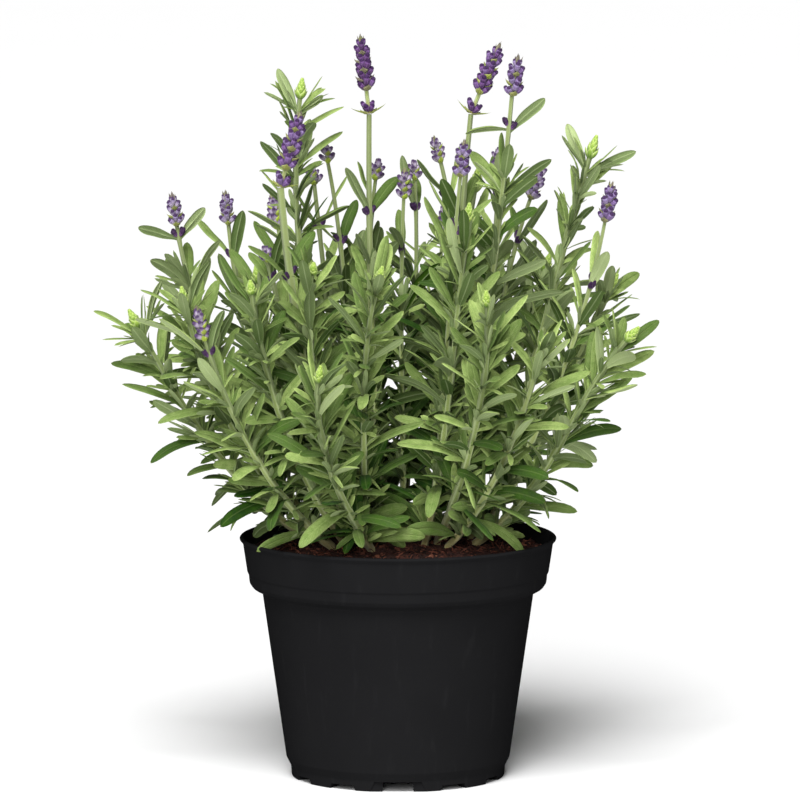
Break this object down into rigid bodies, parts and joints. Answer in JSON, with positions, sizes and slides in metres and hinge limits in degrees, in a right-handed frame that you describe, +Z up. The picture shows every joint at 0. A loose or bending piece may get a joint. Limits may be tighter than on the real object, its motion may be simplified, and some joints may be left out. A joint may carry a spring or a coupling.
{
  "type": "potted lavender",
  "caption": "Lavender plant with crossed pairs of narrow leaves, green buds and violet flower spikes on upright stems, growing in dark soil in a round black nursery pot.",
  "frame": {"origin": "middle of the whole plant's box, at the height that the pot's feet stand on", "axes": "+Z up along the plant, +X to the right and -Y to the front as the picture shows it"},
  "size_m": [0.2472, 0.2272, 0.3268],
  "materials": {
    "pot": "satin",
    "soil": "matte",
    "foliage": "matte",
    "flower": "matte"
  },
  "bodies": {
    "root": {"pot": "pot", "soil": "soil", "stem_tall_left": "foliage", "head_tall_left": "flower", "stem_tall_middle": "foliage", "head_tall_middle": "flower", "stem_tall_right": "foliage", "head_tall_right": "flower", "stem_tall_far_right": "foliage", "head_tall_far_right": "flower", "stem_right_outer": "foliage", "head_right_outer": "flower", "stem_right_back": "foliage", "head_right_back": "flower", "stem_left_outer": "foliage", "head_left_outer": "flower", "stem_left_back": "foliage", "head_left_back": "flower", "stem_middle_small": "foliage", "head_middle_small": "flower", "stem_front_tall": "foliage", "head_front_tall": "flower", "stem_left_slim": "foliage", "head_left_slim": "flower", "stem_left_twin": "foliage", "head_left_twin": "flower", "stem_back_slim": "foliage", "head_back_slim": "flower", "stem_back_middle": "foliage", "head_back_middle": "flower", "stem_pale_middle": "foliage", "head_pale_middle": "flower", "stem_back_right": "foliage", "head_back_right": "flower", "stem_left_low": "foliage", "head_left_low": "flower", "stem_front_left": "foliage", "head_front_left": "flower", "stem_rear_left": "foliage", "head_rear_left": "flower", "stem_rear_right": "foliage", "head_rear_right": "flower", "stem_bud_top": "foliage", "stem_bud_right": "foliage", "stem_bud_pale": "foliage", "stem_bud_front": "foliage", "stem_front_middle": "foliage", "stem_front_right": "foliage", "stem_front_short": "foliage", "stem_bud_left": "foliage", "stem_bud_inner": "foliage", "stem_bud_outer": "foliage", "stem_left_arching": "foliage", "stem_right_arching": "foliage", "stem_right_low": "foliage", "stem_front_far": "foliage", "stem_rear_bud_left": "foliage", "stem_rear_bud": "foliage", "stem_rear_bud_right": "foliage", "stem_rear_low": "foliage"}
  },
  "joints": []
}
